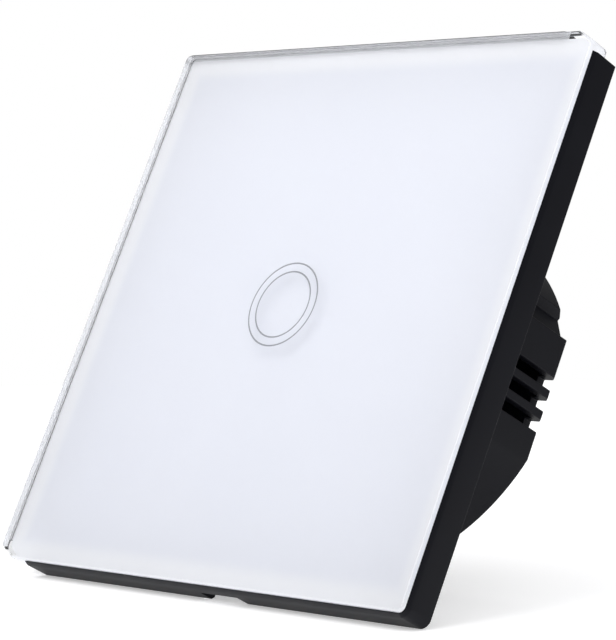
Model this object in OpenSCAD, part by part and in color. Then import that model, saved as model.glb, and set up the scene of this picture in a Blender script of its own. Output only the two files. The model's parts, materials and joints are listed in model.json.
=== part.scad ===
// Touch light switch: a glass panel on a clip-off frame, over a round back box insert
// with a touch board, a relay board and screw terminals.
// X runs right, Y runs into the wall and Z runs up; the wall surface is y = 0.

/* [Glass panel] */
// Width and height of the glass
glass_w = 79; // [75:1:88]
// Thickness of the glass
glass_t = 3; // [2.6:0.1:4]
// Radius of the glass corners
glass_corner_r = 0.8; // [0.7:0.1:3]
// Length ground off the top and bottom edges at the two free corners
free_cut_x = 2.9; // [2:0.1:4]
// Length ground off the side edges at the two free corners
free_cut_z = 1.6; // [1:0.1:2.4]
// Width of the ground bevel round the glass front
arris = 0.4; // [0.2:0.1:0.6]
// Width of the ground bevel round the glass back
back_arris = 0.1; // [0.05:0.05:0.4]
// Thickness of the white print behind the glass
print_t = 0.1; // [0.1:0.05:0.2]
// Bare glass left round the print
print_margin = 0.4; // [0.1:0.1:0.6]
// Radius of the outer ring line
ring_outer_r = 6.05; // [5.6:0.05:8]
// Radius of the inner ring line
ring_inner_r = 4.8; // [3.5:0.1:5.2]
// Width of the ring lines
ring_line_w = 0.22; // [0.15:0.01:0.4]
// Thickness of the foam tape behind the print
tape_t = 0.2; // [0.1:0.05:0.4]
// Width of the foam tape
tape_w = 3.1; // [1.5:0.1:3.2]
// Tape edge to the glass edge
tape_inset = 0.1; // [0.05:0.05:0.1]
// Tape end to the frame's corner gap
tape_end = 0.8; // [0.6:0.1:1.5]

/* [Panel frame] */
// Air gap between the glass edge and the lip
lip_gap = 0.05; // [0.05:0.05:0.2]
// Wall of the lip round the glass
lip_wall = 0.45; // [0.4:0.05:1]
// Depth of the lip below the glass front
lip_recess = 0.4; // [0.3:0.05:2]
// Flat land left on the lip's front
lip_land = 0.1; // [0.05:0.05:0.3]
// Depth of the bevel round the lip
lip_bevel = 0.7; // [0.2:0.1:1.2]
// Length of the top and bottom walls left out at two corners
corner_gap_x = 6.5; // [5:0.5:7]
// Length of the side walls left out at two corners
corner_gap_z = 3.4; // [2.8:0.1:3.8]
// Leg of the web across each inner corner
corner_web = 5; // [4:0.5:6]
// Width of the ledge behind the glass edge
ledge_w = 3.5; // [3.3:0.1:4.5]
// Bevel round the frame's wall side
rear_bevel = 0.4; // [0.2:0.1:1]
// Gap between the frame and the wall
wall_gap = 0.2; // [0.1:0.1:0.4]
// Width of the pry notch
pry_w = 7; // [5:0.5:12]
// Depth of the pry notch from the wall side
pry_d = 2.6; // [0.8:0.1:3]
// Height of the pry notch
pry_h = 2; // [1:0.1:3]
// Pry notch to the right of the middle
pry_x = 4.5; // [0:0.5:10]
// Length of a locating tongue
tongue_len = 8; // [5:0.5:12]
// Thickness of a locating tongue
tongue_t = 1; // [0.8:0.1:1.4]
// Tongue distance above and below the middle
tongue_z = 20; // [14:1:24]
// Clearance round a tongue
tongue_gap = 0.3; // [0.2:0.1:0.5]

/* [Mounting plate] */
// Thickness of the plate
plate_t = 1; // [0.8:0.1:1.5]
// Gap between the plate and the frame's window
plate_gap = 0.5; // [0.3:0.1:0.7]
// Distance between the two wall screws
screw_spacing = 60; // [60:0.5:62]
// Half width of a wall screw slot
slot_r = 2.1; // [1.8:0.1:2.3]
// End to end length of a wall screw slot
slot_len = 5.2; // [4.8:0.1:5.4]

/* [Rear housing] */
// Radius of the lower body
body_r = 27.85; // [27:0.05:28.2]
// Radius of the flatter crown over the body
crown_r = 29.5; // [29:0.1:31]
// Height of the crown above the middle
crown_top = 23.7; // [23.5:0.1:24.5]
// Width across the side flats
flat_w = 52.4; // [51.8:0.1:52.8]
// Depth of the body behind the wall surface
body_depth = 22; // [21:0.5:32]
// Wall of the body
wall = 1.5; // [1.2:0.1:1.8]
// Height of a side groove's lower corner above the middle
groove_z = 8.6; // [8:0.1:9.2]
// Height of a groove's floor
groove_h = 2.4; // [1.6:0.1:3]
// Depth of a groove's upper corner from the flats
groove_d = 3.6; // [3:0.1:4]
// Depth of a groove's lower corner from the flats
groove_low_d = 2.1; // [1.5:0.1:2.8]
// Rise of a groove's upper side for each unit outwards
groove_rise = 1.5; // [0.8:0.1:2]
// Fall of a groove's lower side for each unit outwards
groove_fall = 0.4; // [0:0.1:0.6]
// Width of a vent slot
vent_w = 1.8; // [0.8:0.1:2]
// Distance between the vent slots
vent_pitch = 3; // [2.6:0.1:3.8]
// Length of a vent slot from the rear face
vent_len = 13; // [8:0.5:15]
// Height of the middle vent slot
vent_z = -1.6; // [-2.5:0.1:0]
// Bevel round the rear face
rear_chamfer = 1; // [0.5:0.1:1.4]
// Clearance between the body and the plate
passage_gap = 0.35; // [0.2:0.05:0.5]
// Depth of the recess round the terminal screws
recess_d = 0.5; // [0.3:0.1:0.8]
// Recess past the terminal screw holes
recess_reach = 1; // [0.6:0.1:1.4]

/* [Chassis] */
// Thickness of the chassis flange
flange_t = 1; // [0.7:0.1:1.2]
// Lap of the flange over the plate's opening
flange_lap = 1.8; // [1:0.1:3]
// Flange edge inside the body's sides
flange_inset = 0.2; // [0.1:0.05:0.4]
// Radius of the room for a wall screw's head
head_room = 4; // [3.6:0.1:4.5]
// Radius of the flange's ear corners
ear_corner_r = 2; // [1:0.5:3]
// Ear screw distance from the plate's opening
ear_land = 3.6; // [3.4:0.1:4]
// Ear screw distance from the flange edges
ear_inset = 3.5; // [3:0.1:4]
// Radius of an ear screw
ear_screw_r = 1; // [0.8:0.1:1.2]
// Radius of an ear screw head
ear_head_r = 1.9; // [1.6:0.1:2.1]
// Thickness of an ear screw head
ear_head_t = 0.4; // [0.3:0.05:0.5]
// Gap between the flange and the print
panel_gap = 0.3; // [0.15:0.05:0.4]
// Thickness of the chassis floor
floor_t = 1; // [0.8:0.1:1.4]
// Length of the spigot behind the floor
spigot_len = 2.2; // [1.5:0.1:3]
// Wall of the spigot
spigot_wall = 1.2; // [1:0.1:1.6]
// Clearance of the spigot in the housing
fit_gap = 0.25; // [0.15:0.05:0.4]
// Radius of a screw post
post_r = 2.2; // [2:0.1:2.4]
// Radius of a screw post's shoulder
post_shoulder_r = 3; // [2.8:0.1:3.2]
// Gap between a screw post and the round wall
post_room = 2.1; // [1.6:0.1:2.4]
// Upper posts, degrees above the middle
upper_post_angle = 55; // [53:1:57]
// Gap between a lower post and the side wall
post_side_room = 3.2; // [2.6:0.1:4]
// Thickness of a post's ribs
rib_t = 0.8; // [0.6:0.1:1]
// Reach of a post's ribs at the floor
rib_reach = 1.5; // [1:0.1:2]
// Radius of a housing screw
case_screw_r = 0.9; // [0.7:0.1:1.1]
// Length of a housing screw in its post
case_screw_len = 8; // [5:0.5:10]
// Radius of a housing screw head
case_head_r = 1.8; // [1.5:0.1:2]
// Thickness of a housing screw head
case_head_t = 0.9; // [0.6:0.1:1]
// Bevel on a fastener's head and tip
screw_bevel = 0.2; // [0.1:0.05:0.25]
// Clearance round a fastener
screw_gap = 0.1; // [0.05:0.05:0.2]

/* [Touch board] */
// Width and height of the touch board
touch_w = 33; // [31:0.5:34]
// Thickness of the touch board
touch_t = 1; // [0.8:0.1:1.2]
// Depth of the touch board below the flange
touch_recess = 0.6; // [0.4:0.1:0.8]
// Radius of the board corners
touch_corner_r = 2; // [1:0.5:3]
// Clearance round a board
board_gap = 0.3; // [0.2:0.1:0.5]
// Gap between the touch parts and the print
touch_gap = 0.1; // [0.05:0.05:0.15]
// Light guide reach past the outer ring line
guide_reach = 0.55; // [0.4:0.05:1]
// Gap between the light guide and the touch pad
pad_gap = 0.4; // [0.3:0.1:0.8]
// Width of the ring shaped touch pad
pad_w = 2.6; // [1.5:0.1:4]
// Light source distance from the middle
led_x = 3.2; // [2.6:0.1:4.5]
// Width of a light source
led_w = 3; // [2.4:0.1:3.4]
// Height of a light source
led_h = 2.6; // [2:0.1:3]
// Thickness of a light source
led_t = 0.9; // [0.6:0.1:1.2]
// Radius of a light source's corners
led_corner_r = 0.3; // [0.2:0.1:0.5]
// Radius of a light source's lens
led_lens_r = 0.85; // [0.6:0.05:1]
// Length of the touch chip
chip_w = 5; // [4:0.1:6]
// Width of the touch chip
chip_h = 4; // [3:0.1:4.4]
// Thickness of the touch chip
chip_t = 1.4; // [1:0.1:1.8]
// Touch chip distance below the middle
chip_drop = 6; // [5.5:0.1:6.5]
// Bevel round the chip's back
chip_bevel = 0.2; // [0.1:0.05:0.3]
// Legs on each side of the chip
leg_count = 4; // [3:1:4]
// Distance between the chip's legs
leg_pitch = 1.27; // [1:0.01:1.27]
// Width of a chip leg
leg_w = 0.4; // [0.3:0.05:0.5]
// Thickness of a chip leg
leg_t = 0.2; // [0.15:0.05:0.25]
// Reach of a chip leg from the body
leg_reach = 1; // [0.8:0.1:1.2]
// Length of a chip leg's foot
leg_foot = 0.6; // [0.4:0.1:0.7]

/* [Power board] */
// Gap between the relay and the rear wall
relay_room = 1.4; // [0.8:0.1:2]
// Thickness of the power board
power_t = 1.6; // [1.2:0.1:1.6]
// Number of header pins
pin_count = 6; // [4:1:7]
// Distance between the header pins
pin_pitch = 2.54; // [2:0.02:2.54]
// Radius of a header pin
pin_r = 0.32; // [0.25:0.01:0.4]
// Header row above the middle
header_z = 8; // [7:0.1:9]
// Width of the header block
header_w = 2.6; // [2:0.1:3]
// Notch between the header block's cells
header_notch = 0.4; // [0.2:0.1:0.6]
// Width of the relay
relay_w = 19; // [16:0.5:19.5]
// Height of the relay
relay_h = 15.5; // [12:0.5:16]
// Depth of the relay
relay_d = 11.5; // [9:0.5:11.5]
// Gap between the film capacitor and the relay
relay_gap = 3.2; // [2:0.1:3.6]
// Radius of the relay case's corners
relay_corner_r = 1; // [0.9:0.1:2]
// Thickness of the relay's base
relay_base_t = 1.4; // [1:0.1:2]
// Step from the relay's base to its case
relay_step = 0.3; // [0.2:0.1:0.4]
// Bevel round a case's back
case_bevel = 0.5; // [0.3:0.1:0.5]
// Width of the film capacitor
film_w = 16; // [12:0.5:18]
// Height of the film capacitor
film_h = 5.5; // [4:0.1:6]
// Depth of the film capacitor
film_d = 10.5; // [8:0.5:11]
// Gap between the terminal bars and the film capacitor
film_room = 2; // [1:0.1:2.5]
// Radius of the film capacitor's corners
film_corner_r = 0.8; // [0.6:0.1:1.5]
// Radius of the filter capacitor
can_r = 4; // [3:0.1:4.5]
// Length of the filter capacitor
can_len = 10.5; // [8:0.5:11]
// Filter capacitor from the board's edge
can_room = 3.4; // [2:0.1:4]
// Height of the can's crimp above the board
crimp_at = 1.6; // [1.2:0.1:2.5]
// Depth of the can's crimp
crimp_d = 0.4; // [0.2:0.1:0.6]
// Depth of the can's dished end
dish_d = 0.25; // [0.15:0.05:0.4]
// Width of the relief score across the can's end
score_w = 0.3; // [0.2:0.1:0.5]
// Radius of the fuse
fuse_r = 2; // [1.5:0.1:2.2]
// Length of the fuse
fuse_len = 9; // [7:0.5:10]
// Length of a fuse cap
fuse_cap_len = 1.8; // [1.2:0.1:2.4]
// Wall of a fuse cap
fuse_cap_t = 0.25; // [0.15:0.05:0.4]
// Fuse from the board's edge
fuse_room = 5.1; // [3:0.1:6]
// Radius of a fuse lead
lead_r = 0.35; // [0.25:0.05:0.5]
// Reach of a fuse lead past its cap
lead_reach = 1; // [0.7:0.1:1.4]

/* [Terminals] */
// Distance between the poles
pole_pitch = 7; // [6.8:0.1:7.6]
// Height of the terminal block
block_h = 10; // [9.5:0.1:10.5]
// Gap between the terminal block and the housing
block_gap = 0.25; // [0.15:0.05:0.4]
// Bottom wall of the terminal block
block_bottom_t = 1.6; // [1.2:0.1:2]
// Top wall of the terminal block
block_top_t = 1.3; // [1:0.1:1.6]
// Wall that carries the terminal screws
block_ledge_t = 0.8; // [0.6:0.1:1]
// Width of the grooves between the poles
groove_w = 0.8; // [0.6:0.1:1]
// Radius of a wire entry
wire_r = 1.7; // [1.4:0.1:1.9]
// Room round the wire entries in the housing's window
wire_gap = 0.8; // [0.4:0.1:1]
// Width of a clamp cage
cage_w = 5.8; // [5.4:0.1:5.9]
// Length of a clamp cage along the wire
cage_len = 6; // [5:0.1:6.2]
// Side and bottom sheet of a clamp cage
cage_sheet = 0.6; // [0.5:0.1:0.7]
// Threaded wall of a clamp cage
cage_nut_t = 1.2; // [1:0.1:1.4]
// Outer bend of a clamp cage's sheet
cage_bend = 0.9; // [0.7:0.1:1]
// Number of grip grooves in a clamp cage
tooth_count = 4; // [2:1:6]
// Depth of a grip groove
tooth_d = 0.25; // [0.15:0.05:0.35]
// Clearance round a clamp cage
cage_gap = 0.2; // [0.15:0.05:0.25]
// Travel of a clamp
clamp_travel = 2; // [1.5:0.1:2.2]
// Open height for the wire under the bar
wire_room = 4.2; // [3.9:0.1:4.4]
// Thickness of a terminal bar
bar_t = 0.8; // [0.6:0.1:1]
// Width of a terminal bar
bar_w = 4; // [3:0.1:4.1]
// Inner bend of a terminal bar
bar_bend = 0.5; // [0.3:0.1:0.8]
// Gap between a bar and the open clamp
bar_gap = 0.7; // [0.5:0.1:0.8]
// Clearance of a bar in its slot
bar_fit = 0.05; // [0.03:0.01:0.1]
// Tail of a bar above the block
bar_tail_gap = 1.2; // [0.8:0.1:1.3]
// Radius of a terminal screw
screw_r = 1.35; // [1.2:0.05:1.5]
// Running clearance of a terminal screw
screw_fit = 0.05; // [0.03:0.01:0.08]
// Radius of a terminal screw head
head_r = 2.3; // [2:0.1:2.5]
// Thickness of a terminal screw head
head_t = 1.2; // [1:0.1:1.3]
// Clearance round a terminal screw head
head_gap = 0.3; // [0.2:0.1:0.4]
// Width of a driver slot
driver_w = 0.6; // [0.4:0.1:0.8]
// Depth of a driver slot
driver_d = 0.7; // [0.5:0.1:0.8]

/* [Hidden] */
$fn = 64;
// Overshoot of every cutting tool past the face that it opens
cut = 1;

// Levels along Y, from the room into the wall
flange_rear = -plate_t;
flange_front = flange_rear - flange_t;
print_back = flange_front - panel_gap;
print_front = print_back - print_t;
glass_front = print_front - glass_t;
lip_front = glass_front + lip_recess;
ledge_front = print_back + tape_t;
frame_rear = -wall_gap;
touch_front = flange_front + touch_recess;
floor_front = touch_front + touch_t;
floor_rear = floor_front + floor_t;
spigot_rear = floor_rear + spigot_len;
rear_inner = body_depth - wall;
power_rear = rear_inner - relay_room - relay_d;
power_front = power_rear - power_t;

// Half sizes of the square pieces
glass_half = glass_w / 2;
frame_half = glass_half + lip_gap + lip_wall;
window_half = glass_half - ledge_w;
plate_half = window_half - plate_gap;
frame_corner_r = glass_corner_r + lip_gap + lip_wall;
plate_corner_r = corner_web / (2 - sqrt(2)) - plate_gap;

// The body: the middle of its crown's circle, its sides and a side groove,
// as a path that comes in from above and goes out below
crown_z = crown_top - crown_r;
side_x = min(flat_w / 2, body_r);
groove_upper = [side_x - groove_d, groove_z + groove_h];
groove_lower = [side_x - groove_low_d, groove_z];
groove = [
    groove_upper + groove_d * [2, 2 * groove_rise], groove_upper,
    groove_lower, groove_lower + groove_d * [2, -2 * groove_fall]
];

// The edge of the plate's opening and of the chassis inside the body
opening_r = body_r + passage_gap;
spigot_inset = wall + fit_gap;

// The flange ends inside the body's sides, and its ear screws clear the plate's opening
flange_x = side_x - flange_inset;
ear_x = flange_x - ear_inset;
ear_z = sqrt(pow(opening_r + ear_land, 2) - pow(ear_x, 2));
flange_z = ear_z + ear_inset;

// Posts that carry the power board and take the housing screws, as [x, z]
upper_post_at = crown_r - wall - post_room - post_r;
lower_post_at = body_r - wall - post_room - post_r;
upper_post = [0, crown_z] + upper_post_at * [cos(upper_post_angle), sin(upper_post_angle)];
lower_post_x = side_x - wall - post_side_room - post_r;
lower_post = [lower_post_x, -sqrt(pow(lower_post_at, 2) - pow(lower_post_x, 2))];
posts = [for (p = [upper_post, lower_post], side = [-1, 1]) [side * p[0], p[1]]];

// Parts along the power board's side edges
board_x = side_x - wall - board_gap;
can_x = board_x - can_room - can_r;
fuse_cap_r = fuse_r + fuse_cap_t;
fuse_x = board_x - fuse_room - fuse_cap_r;

// Opening in the chassis floor for what stands behind the touch board
floor_window_w = pin_count * pin_pitch + 2 * board_gap;
floor_window_top = header_z + header_w / 2 + board_gap;
floor_window_bottom = -chip_drop - chip_h / 2 - leg_reach - board_gap;
guide_r = ring_outer_r + guide_reach;
touch_part_front = print_back + touch_gap;
ring_depth = print_t / 2;

// Terminals: block, cages and bars
poles = [-pole_pitch, 0, pole_pitch];
block_half = 1.5 * pole_pitch;
block_rear = rear_inner - block_gap;
block_ledge = block_rear - block_ledge_t;
block_bottom = -sqrt(pow(body_r - wall - block_gap, 2) - pow(block_half, 2));
block_top = block_bottom + block_h;
chamber_bottom = block_bottom + block_bottom_t;
chamber_top = block_top - block_top_t;
cage_z = (chamber_bottom + chamber_top) / 2;
cage_rear = block_ledge - cage_gap - clamp_travel;
cage_nut_front = cage_rear - cage_nut_t;
bar_rear = cage_nut_front - bar_gap;
bar_front = bar_rear - bar_t;
wire_y = bar_front - wire_room / 2;
cage_floor = bar_front - wire_room;
bar_bottom = chamber_bottom + cage_gap;
bar_top = block_top + bar_tail_gap;
film_bottom = bar_top + film_room;
relay_bottom = film_bottom + film_h + relay_gap;

// A flat outline in x and z, made solid from y0 to y1
module slab(y0, y1) {
    translate([0, y1, 0]) rotate([90, 0, 0]) linear_extrude(y1 - y0) children();
}

// A flat outline in z and y, made solid across x
module strip(x, width) {
    translate([x, 0, 0]) rotate([0, -90, 0]) linear_extrude(width, center = true) children();
}

// A round bar along Y
module rod(r, y0, y1, x = 0, z = 0) {
    slab(y0, y1) translate([x, z]) circle(r);
}

// A turned piece along Y, from an outline of [radius, y] points
module turned(outline, x = 0, z = 0) {
    translate([x, 0, z]) rotate([-90, 0, 0]) rotate_extrude() polygon(outline);
}

// A block between two corners
module block(low, high) {
    translate(low) cube(high - low);
}

// A flat rectangle between two corners
module panel(low, high) {
    translate(low) square(high - low);
}

// A rounded rectangle outline
module tile(half_x, half_z, r) {
    square([2 * half_x, 2 * (half_z - r)], center = true);
    square([2 * (half_x - r), 2 * half_z], center = true);
    for (x = [-1, 1], z = [-1, 1]) translate([x * (half_x - r), z * (half_z - r)]) circle(r);
}

// A slot outline along x with round ends
module stadium(half_len, r) {
    square([2 * (half_len - r), 2 * r], center = true);
    for (end = [-1, 1]) translate([end * (half_len - r), 0]) circle(r);
}

// A section across a plate whose edges follow a list of [inset, y] points
function plate_section(half, edge) = concat(
    [for (p = edge) [half - p[0], p[1]]],
    [for (i = [len(edge) - 1 : -1 : 0]) [edge[i][0] - half, edge[i][1]]]
);

// A rounded rectangular plate whose edge follows a list of [inset, y] points
module edged_plate(half_x, half_z, r, edge) {
    straight_x = half_x - r;
    straight_z = half_z - r;
    first = edge[0][1];
    last = edge[len(edge) - 1][1];
    corner = concat([[0, first]], [for (p = edge) [r - p[0], p[1]]], [[0, last]]);
    linear_extrude(2 * straight_z, center = true) polygon(plate_section(half_x, edge));
    rotate([0, 90, 0]) linear_extrude(2 * straight_x, center = true) polygon(plate_section(half_z, edge));
    for (x = [-1, 1], z = [-1, 1]) turned(corner, x * straight_x, z * straight_z);
}

// A screw along Y from its tip to its head, with a bevelled tip and head
module screw(x, z, r, tip, seat, top, head) {
    way = sign(top - tip);
    turned([
        [0, tip], [r - screw_bevel, tip], [r, tip + way * screw_bevel], [r, seat],
        [head, seat], [head, top - way * screw_bevel], [head - screw_bevel, top], [0, top]
    ], x, z);
}

// A straight driver slot across a screw head, between two levels
module driver_slot(x, z, r, y0, y1) {
    block([x - driver_w / 2, y0, z - r - cut], [x + driver_w / 2, y1, z + r + cut]);
}

// Corner b of a path a, b, c, where both of its lines move to the right of the path
function mitre(a, b, c, distance) = let(
    before = (b - a) / norm(b - a),
    after = (c - b) / norm(c - b),
    outward = [before[1] + after[1], -before[0] - after[0]]
) b + outward * distance / (1 + before * after);

// The body's outline, drawn in by an inset: a round body with side flats and a flatter crown
module body_outline(inset) {
    intersection() {
        square([2 * (side_x - inset), 2 * (body_r - inset)], center = true);
        circle(body_r - inset);
        translate([0, crown_z]) circle(crown_r - inset);
    }
}

// The same with the groove in each side, whose wall keeps its thickness
module housing_outline(inset) {
    upper = mitre(groove[0], groove[1], groove[2], inset);
    lower = mitre(groove[1], groove[2], groove[3], inset);
    difference() {
        body_outline(inset);
        for (side = [0, 1]) mirror([side, 0])
            polygon([upper + groove[0] - groove[1], upper, lower, lower + groove[3] - groove[2]]);
    }
}

// Panel
module glass_panel() {
    edge = [
        [arris, glass_front], [0, glass_front + arris],
        [0, print_front - back_arris], [back_arris, print_front]
    ];
    color([0.86, 0.93, 0.94, 0.45]) difference() {
        edged_plate(glass_half, glass_half, glass_corner_r, edge);
        free_corners(glass_front - cut, print_front + cut);
    }
}

// What is ground off the glass at the two corners where no frame stands round it
module free_corners(y0, y1, margin = 0) {
    upper = [glass_half - free_cut_x - margin, glass_half];
    lower = [glass_half, glass_half - free_cut_z - margin];
    outside = glass_half + cut;
    for (turn = [0, 180]) rotate([0, turn, 0]) slab(y0, y1)
        polygon([upper, [upper[0], outside], [outside, outside], [outside, lower[1]], lower]);
}

module back_print() {
    print_half = glass_half - print_margin;
    color("white") difference() {
        slab(print_front, print_back) tile(print_half, print_half, glass_corner_r - print_margin);
        for (r = [ring_inner_r, ring_outer_r])
            slab(print_front - cut, print_front + ring_depth) difference() {
                circle(r + ring_line_w / 2);
                circle(r - ring_line_w / 2);
            }
        free_corners(print_front - cut, print_back + cut, 2 * print_margin);
    }
}

module foam_tape() {
    outer = glass_half - tape_inset;
    inner = outer - tape_w;
    color([0.65, 0.65, 0.67]) difference() {
        slab(print_back, ledge_front) difference() {
            tile(outer, outer, glass_corner_r);
            square(2 * inner, center = true);
        }
        corner_gaps(print_back - cut, ledge_front + cut, tape_end);
    }
}

// What is left out of the frame at its upper right and lower left corners
module corner_gaps(y0, y1, clear = 0) {
    for (turn = [0, 180]) rotate([0, turn, 0])
        block([frame_half - corner_gap_x - clear, y0, frame_half - corner_gap_z - clear],
            [frame_half + cut, y1, frame_half + cut]);
}

module panel_frame() {
    seat_half = glass_half + lip_gap;
    web_reach = 2 * window_half - corner_web;
    color([0.08, 0.08, 0.09]) difference() {
        edged_plate(frame_half, frame_half, frame_corner_r,
            [[lip_wall - lip_land, lip_front], [0, lip_front + lip_bevel],
                [0, frame_rear - rear_bevel], [rear_bevel, frame_rear]]);
        slab(lip_front - cut, ledge_front) tile(seat_half, seat_half, glass_corner_r + lip_gap);
        slab(lip_front - cut, frame_rear + cut) difference() {
            intersection() {
                square(2 * window_half, center = true);
                rotate(45) square(sqrt(2) * web_reach, center = true);
            }
            for (x = [-1, 1], z = [-1, 1])
                translate([x * window_half, z * tongue_z]) square([2 * tongue_t, tongue_len], center = true);
        }
        corner_gaps(lip_front - cut, frame_rear + cut);
        block([pry_x - pry_w / 2, frame_rear - pry_d, -frame_half - cut],
            [pry_x + pry_w / 2, frame_rear + cut, pry_h - frame_half]);
    }
}

// Mounting
module mounting_plate() {
    tongue_x = window_half - tongue_t - tongue_gap;
    color([0.75, 0.76, 0.78]) slab(flange_rear, 0) difference() {
        tile(plate_half, plate_half, plate_corner_r);
        body_outline(-passage_gap);
        for (side = [-1, 1]) translate([side * screw_spacing / 2, 0]) stadium(slot_len / 2, slot_r);
        for (x = [-1, 1], z = [-1, 1]) {
            translate([x * ear_x, z * ear_z]) circle(ear_screw_r + screw_gap);
            translate([x * (tongue_x + tongue_t), z * tongue_z])
                square([2 * tongue_t, tongue_len + 2 * tongue_gap], center = true);
        }
    }
}

// The chassis's face plate: four ears round the body, with room for the wall screws' heads
module flange_outline() {
    round_r = opening_r + flange_lap;
    difference() {
        union() {
            tile(flange_x, flange_z, ear_corner_r);
            intersection() {
                circle(round_r);
                square([2 * flange_x, 2 * round_r], center = true);
            }
        }
        for (side = [-1, 1]) translate([side * screw_spacing / 2, 0])
            stadium(slot_len / 2 - slot_r + head_room, head_room);
    }
}

// A screw post with its shoulder for the power board and its four ribs on the floor
module post(x, z) {
    foot = post_shoulder_r + rib_reach;
    rib = [
        [0, floor_rear], [foot, floor_rear],
        [post_shoulder_r, spigot_rear], [0, spigot_rear]
    ];
    rod(post_r, floor_rear, rear_inner, x, z);
    intersection() {
        slab(floor_rear, power_front) housing_outline(spigot_inset);
        union() {
            rod(post_shoulder_r, floor_rear, power_front, x, z);
            for (turn = [0 : 90 : 270]) translate([x, 0, z]) rotate([0, turn, 0])
                linear_extrude(rib_t, center = true) polygon(rib);
        }
    }
}

module chassis() {
    pocket_half = touch_w / 2 + board_gap;
    color([0.1, 0.1, 0.11]) difference() {
        union() {
            slab(flange_front, flange_rear) flange_outline();
            slab(flange_rear, floor_rear) housing_outline(spigot_inset);
            slab(floor_rear, spigot_rear) difference() {
                housing_outline(spigot_inset);
                housing_outline(spigot_inset + spigot_wall);
            }
            for (p = posts) post(p[0], p[1]);
        }
        slab(flange_front - cut, floor_front) tile(pocket_half, pocket_half, touch_corner_r);
        block([-floor_window_w / 2, floor_front - cut, floor_window_bottom],
            [floor_window_w / 2, floor_rear + cut, floor_window_top]);
        for (x = [-ear_x, ear_x], z = [-ear_z, ear_z]) {
            rod(ear_screw_r + screw_gap, flange_front - cut, flange_rear + cut, x, z);
            rod(ear_head_r + screw_gap, flange_front - cut, flange_front + ear_head_t, x, z);
        }
        for (p = posts)
            rod(case_screw_r + screw_gap, rear_inner - case_screw_len - cut, rear_inner + cut, p[0], p[1]);
    }
}

module plate_screws() {
    seat = flange_front + ear_head_t;
    slot_floor = flange_front + ear_head_t / 2;
    color([0.7, 0.71, 0.74]) for (x = [-ear_x, ear_x], z = [-ear_z, ear_z]) difference() {
        screw(x, z, ear_screw_r, -screw_gap, seat, flange_front, ear_head_r);
        driver_slot(x, z, ear_head_r, flange_front - cut, slot_floor);
    }
}

// The moulded insert that goes into the wall box: a shell with bevelled rear edges,
// vents, a window for the wires and a sunk field for the terminal screws
module rear_housing() {
    bevel_y = body_depth - rear_chamfer;
    screw_hole_r = head_r + head_gap;
    recess_r = screw_hole_r + recess_reach;
    window_r = wire_r + wire_gap;
    color([0.1, 0.1, 0.11]) difference() {
        intersection() {
            slab(flange_rear, body_depth) housing_outline(0);
            turned([
                [0, flange_rear], [body_r, flange_rear], [body_r, bevel_y],
                [body_r - rear_chamfer, body_depth], [0, body_depth]
            ]);
            turned([
                [0, flange_rear], [crown_r, flange_rear], [crown_r, bevel_y],
                [crown_r - rear_chamfer, body_depth], [0, body_depth]
            ], 0, crown_z);
            linear_extrude(2 * body_r, center = true) polygon(plate_section(side_x,
                [[0, flange_rear], [0, bevel_y], [rear_chamfer, body_depth]]));
        }
        slab(flange_rear - cut, rear_inner) housing_outline(wall);
        for (side = [0, 1], row = [-1 : 1]) mirror([side, 0, 0])
            translate([side_x - wall - cut, body_depth - vent_len, vent_z + row * vent_pitch - vent_w / 2])
                cube([wall + 2 * cut, vent_len + cut, vent_w]);
        for (p = posts) {
            rod(case_screw_r + screw_gap, rear_inner - cut, body_depth + cut, p[0], p[1]);
            rod(case_head_r + screw_gap, body_depth - case_head_t, body_depth + cut, p[0], p[1]);
        }
        for (x = poles) rod(screw_hole_r, rear_inner - cut, body_depth + cut, x, cage_z);
        slab(body_depth - recess_d, body_depth + cut)
            translate([0, cage_z]) stadium(pole_pitch + recess_r, recess_r);
        translate([0, wire_y, -body_r - cut]) linear_extrude(body_r + block_bottom + cut)
            stadium(pole_pitch + window_r, window_r);
    }
}

module housing_screws() {
    tip = rear_inner - case_screw_len;
    seat = body_depth - case_head_t;
    slot_floor = body_depth - case_head_t / 2;
    color([0.7, 0.71, 0.74]) for (p = posts) difference() {
        screw(p[0], p[1], case_screw_r, tip, seat, body_depth, case_head_r);
        driver_slot(p[0], p[1], case_head_r, slot_floor, body_depth + cut);
    }
}

// Touch board and what stands on it
module touch_board() {
    color([0.06, 0.3, 0.16]) difference() {
        slab(touch_front, floor_front) tile(touch_w / 2, touch_w / 2, touch_corner_r);
        for (side = [-1, 1]) rod(led_lens_r + screw_gap, touch_front - cut, floor_front + cut, side * led_x);
        header_holes(touch_front - cut, floor_front + cut, pin_r + screw_gap);
    }
}

// Places of the header pins, as bars between two levels
module header_holes(y0, y1, r) {
    for (i = [0 : pin_count - 1]) rod(r, y0, y1, (i - (pin_count - 1) / 2) * pin_pitch, header_z);
}

module touch_pad() {
    color([0.75, 0.45, 0.25]) slab(touch_part_front, touch_front) difference() {
        circle(guide_r + pad_gap + pad_w);
        circle(guide_r + pad_gap);
    }
}

module light_guide() {
    color([0.92, 0.94, 0.95]) rod(guide_r, touch_part_front, touch_front);
}

module indicator_leds() {
    color([0.95, 0.93, 0.8]) for (side = [-1, 1]) {
        slab(floor_front, floor_front + led_t)
            translate([side * led_x, 0]) tile(led_w / 2, led_h / 2, led_corner_r);
        rod(led_lens_r, touch_front + screw_gap, floor_front + led_t, side * led_x);
    }
}

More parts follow.
